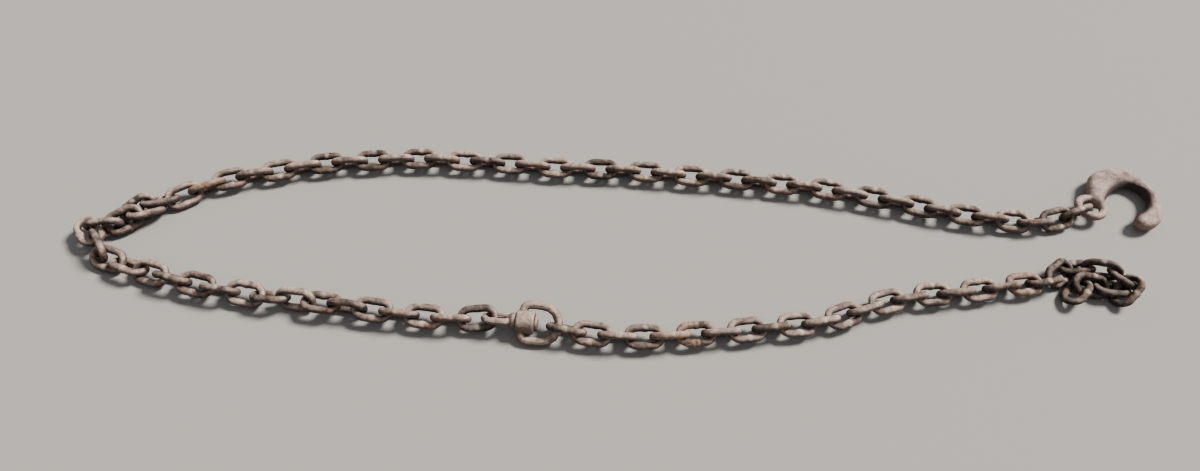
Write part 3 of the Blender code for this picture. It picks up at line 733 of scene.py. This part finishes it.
def hook_eye():
    """The eye is a torus: a circle of the bar's radius carried round the eye's centreline."""
    u, v = (2 * math.pi * np.arange(count) / count for count in EYE_GRID)
    reach = HOOK_EYE + HOOK_EYE_BAR / 2 * np.cos(v)[None]
    height = np.tile(HOOK_EYE_BAR / 2 * np.sin(v), (len(u), 1))
    return np.stack([reach * np.cos(u)[:, None], reach * np.sin(u)[:, None], height], axis=2)


def pressed_hook(place):
    """The hook's body and eye as closed shells. The body's height above its middle plane is
    half the thickness times (1 - (1 - d / round) ** p) ** (1 / p), d being how far in from the
    outline a point lies. The underside is the same, turned over, and shares the rim."""
    share = np.clip(GRID_DEPTH / HOOK_ROUND, 0, 1)
    height = HOOK_THICK / 2 * (1 - (1 - share) ** HOOK_FLAT) ** (1 / HOOK_FLAT)
    height = np.where(GRID_RIM, 0, height)
    top = np.column_stack([GRID_POINTS, height])
    under = np.column_stack([GRID_POINTS, -height])
    numbers = np.arange(len(top))
    under_quads = np.where(GRID_RIM, numbers, numbers + len(top))[GRID_QUADS][:, ::-1]
    eye = hook_eye()
    ring = closed_grid("hook_eye", eye)
    ring_quads = np.array([f.vertices[:] for f in ring.polygons]) + 2 * len(top)
    bpy.data.meshes.remove(ring)
    shell = np.concatenate([top, under, eye.reshape(-1, 3)])
    faces = np.concatenate([GRID_QUADS, under_quads, ring_quads]).tolist()
    mesh = bpy.data.meshes.new("hook_blank")
    mesh.from_pydata(place(shell).tolist(), [], faces)
    return mesh


print("hook", round(1000 * HOOK_THICK), "mm thick, rounded over", round(1000 * HOOK_ROUND), "mm")

# %% Where the hook lies
MOUNT_ON_HOOK = (0.060, 0.088, -0.015)   # the record's mount, in the hook's own frame


def hook_place():
    """From the hook's own frame, with its origin in the eye and z through its thickness, to
    where its solid lies. The record's mount is a point on the hook's underside: its axis
    gives the hook's tilt, and the point gives the rest."""
    mount = frame["record"]["mounts"][0]
    up = -Vector(mount["axis"])
    tilt = np.array(Vector((0, 0, 1)).rotation_difference(up).to_matrix())
    eye = np.array(mount["pos_m"]) - tilt @ np.array(MOUNT_ON_HOOK)
    lean = math.degrees(up.angle((0, 0, 1)))
    print("hook's eye at", eye.round(4), "tilted", round(lean, 1), "degrees")
    return lambda own: eye + own @ tilt.T


HOOK_PLACE = hook_place()

# %% Skin a forging
SMOOTH_ROUNDS = 8            # how long the skin is smoothed
WELD_WITHIN = 0.00002        # corners nearer than this are one
BULGE_ROUNDS = 6             # how often the measure of curving is smoothed


def skinned(mesh, voxel):
    """A mesh's surface as an even skin of small squares, with its edges rounded off."""
    temp = bpy.data.objects.new("skin", mesh)
    bpy.context.scene.collection.objects.link(temp)
    weld = temp.modifiers.new("weld", "WELD")
    weld.merge_threshold = WELD_WITHIN
    remesh = temp.modifiers.new("skin", "REMESH")
    remesh.mode = "VOXEL"
    remesh.voxel_size = voxel
    smooth = temp.modifiers.new("smooth", "SMOOTH")
    smooth.iterations = SMOOTH_ROUNDS
    bpy.context.view_layer.update()
    graph = bpy.context.evaluated_depsgraph_get()
    made = bpy.data.meshes.new_from_object(temp.evaluated_get(graph))
    bpy.data.objects.remove(temp)
    bpy.data.meshes.remove(mesh)
    made.shade_smooth()
    return made


def normals_of(mesh):
    """A mesh's vertex normals, as rows of three."""
    flat = np.zeros(3 * len(mesh.vertices), np.float32)
    mesh.vertex_normals.foreach_get("vector", flat)
    return flat.reshape(-1, 3).astype(float)


def bulge(mesh, points, normals):
    """How far each vertex stands out from the mean of its neighbours, smoothed a few times."""
    ends = np.zeros(2 * len(mesh.edges), np.int32)
    mesh.edges.foreach_get("vertices", ends)
    a, b = ends.reshape(-1, 2).T
    count = np.bincount(np.concatenate([a, b]), minlength=len(points))[:, None]

    def mean(values):
        total = np.zeros_like(values)
        np.add.at(total, a, values[b])
        np.add.at(total, b, values[a])
        return total / np.maximum(count, 1)
    out = ((points - mean(points)) * normals).sum(axis=1)[:, None]
    for again in range(BULGE_ROUNDS):
        out = mean(out)
    return out[:, 0]


print("skins smoothed", SMOOTH_ROUNDS, "times")

# %% Forge the hook and the swivel
BOWL_MIDDLE = (0.088, 0.022)     # in the hook's own frame
BOWL_WALL = 0.058                # how far from it the bowl's inner wall lies at most
FORGED_SCAB = 0.00012            # height of the scabs on a forging
FORGED_PIT = 0.0004              # depth of its pits
FORGED_TONE, FORGED_STRAY = 0.7, 0.25   # tone of a forging, and how far it strays
SHARPEST = 97                    # this per cent of a skin curves less than a sharp edge
HOOK_SKIN, SWIVEL_SKIN = 0.0013, 0.0009        # size of the skin's squares
HOOK_LUMP, SWIVEL_LUMP = 0.0003, 0.00025       # height of the broad lumps
TONE_WIDE = 0.08                 # wavelength of a forging's tone


def bowl_wall_shade(points, normals):
    """Painted shade: 1 on the wall inside the bowl, which faces away from the light.
    It starts where the cosine of the angle to the bowl's middle is 0.25, is full at 0.7 and
    ends at the wall's distance."""
    to_middle = HOOK_PLACE(np.array([[*BOWL_MIDDLE, 0]])) - points
    to_middle[:, 2] = 0
    away = np.linalg.norm(to_middle, axis=1)
    cosine = (normals * to_middle).sum(axis=1) / away
    return np.clip((cosine - 0.25) / 0.45, 0, 1) * (away < BOWL_WALL)


def forge(node, blank, voxel, seed, lump, material, slot):
    """Skins a blank, roughens it and paints its edges paler, as wear and painted highlight, and
    its crevices and hollows dark, as painted shade and, in the crevices, dark rust.
    """
    mesh = skinned(blank, voxel)
    points = vertices_of(mesh)
    normals = normals_of(mesh)
    curve = bulge(mesh, points, normals)
    rough = relief(points, seed, lump, FORGED_SCAB, FORGED_PIT)
    moved = points + normals * rough[:, None]
    mesh.vertices.foreach_set("co", moved.astype(np.float32).ravel())
    edge = np.percentile(np.abs(curve), SHARPEST)
    paint(mesh, "tone", FORGED_TONE + FORGED_STRAY * waves(points, TONE_WIDE, seed))
    # wear and painted highlight on the edges that stand out
    paint(mesh, "rub_and_sheen", np.clip(curve / edge, 0, 1) * 0.7)
    # painted shade in the skin's hollows, and dark rust and painted shade in crevices with the links
    deep = crevice_rust_and_shade(points, points.mean(axis=0)) + np.clip(-curve / edge, 0, 1) * 0.5
    # painted shade on the wall inside the hook's bowl
    if node == "slip_hook":
        deep = deep + bowl_wall_shade(points, normals)
    paint(mesh, "crevice_rust_and_shade", deep)
    show(f"{node}_forging", mesh, material, slot, node)
    print(node, len(mesh.polygons) * 2, "triangles, edges stand out", round(1e6 * edge), "microns")


forge("slip_hook", pressed_hook(HOOK_PLACE), HOOK_SKIN, 901, HOOK_LUMP, hook_iron, "hook_steel")
for name, seed in (("swivel_eye", 911), ("swivel_bow", 921)):
    solid = frame["nodes"][name].data.copy()
    forge(name, solid, SWIVEL_SKIN, seed, SWIVEL_LUMP, swivel_iron, "swivel_steel")

# %% [markdown]
# ## Floor and light
# A plain pale floor takes the shadows. One broad soft lamp stands behind and to the right, as
# the daylight does, and the pale surroundings fill the rest.

# %% Floor
FLOOR_HALF = 9.0
FLOOR_GREY = (0.45, 0.43, 0.40)
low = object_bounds()[0]


def floor_material():
    """A plain pale grey, matt."""
    material = bpy.data.materials.new("pale_floor")
    material.use_nodes = True
    shader = material.node_tree.nodes["Principled BSDF"]
    shader.inputs["Base Color"].default_value = (*FLOOR_GREY, 1.0)
    shader.inputs["Roughness"].default_value = 0.9
    return material


floor_mesh = bpy.data.meshes.new("floor")
floor_mesh.from_pydata([(x * FLOOR_HALF, y * FLOOR_HALF, low[2]) for x, y in
                        ((-1, -1), (1, -1), (1, 1), (-1, 1))], [], [(0, 1, 2, 3)])
floor_mesh.materials.append(floor_material())
floor = bpy.data.objects.new("floor", floor_mesh)
bpy.context.scene.collection.objects.link(floor)
print("floor at", round(1000 * low[2], 2), "mm")

# %% Light
SUN_FROM = (46, 62)          # degrees above the horizon, and right of straight behind
SUN_SOFT = 16.0              # degrees across
SUN_STRENGTH = 5.6
SUN_COLOR = (1.0, 0.965, 0.92)
SKY_STRENGTH = 0.27
SKY_COLOR = (0.93, 0.96, 1.0)

sun_data = bpy.data.lights.new("daylight", "SUN")
sun_data.energy = SUN_STRENGTH
sun_data.angle = math.radians(SUN_SOFT)
sun_data.color = SUN_COLOR
sun = bpy.data.objects.new("daylight", sun_data)
sun.rotation_euler = (math.radians(-(90 - SUN_FROM[0])), 0, math.radians(-SUN_FROM[1]))
bpy.context.scene.collection.objects.link(sun)

world = bpy.data.worlds.new("surroundings")
world.use_nodes = True
sky = world.node_tree.nodes["Background"]
sky.inputs["Color"].default_value = (*SKY_COLOR, 1.0)
sky.inputs["Strength"].default_value = SKY_STRENGTH
bpy.context.scene.world = world
print("daylight from", SUN_FROM)
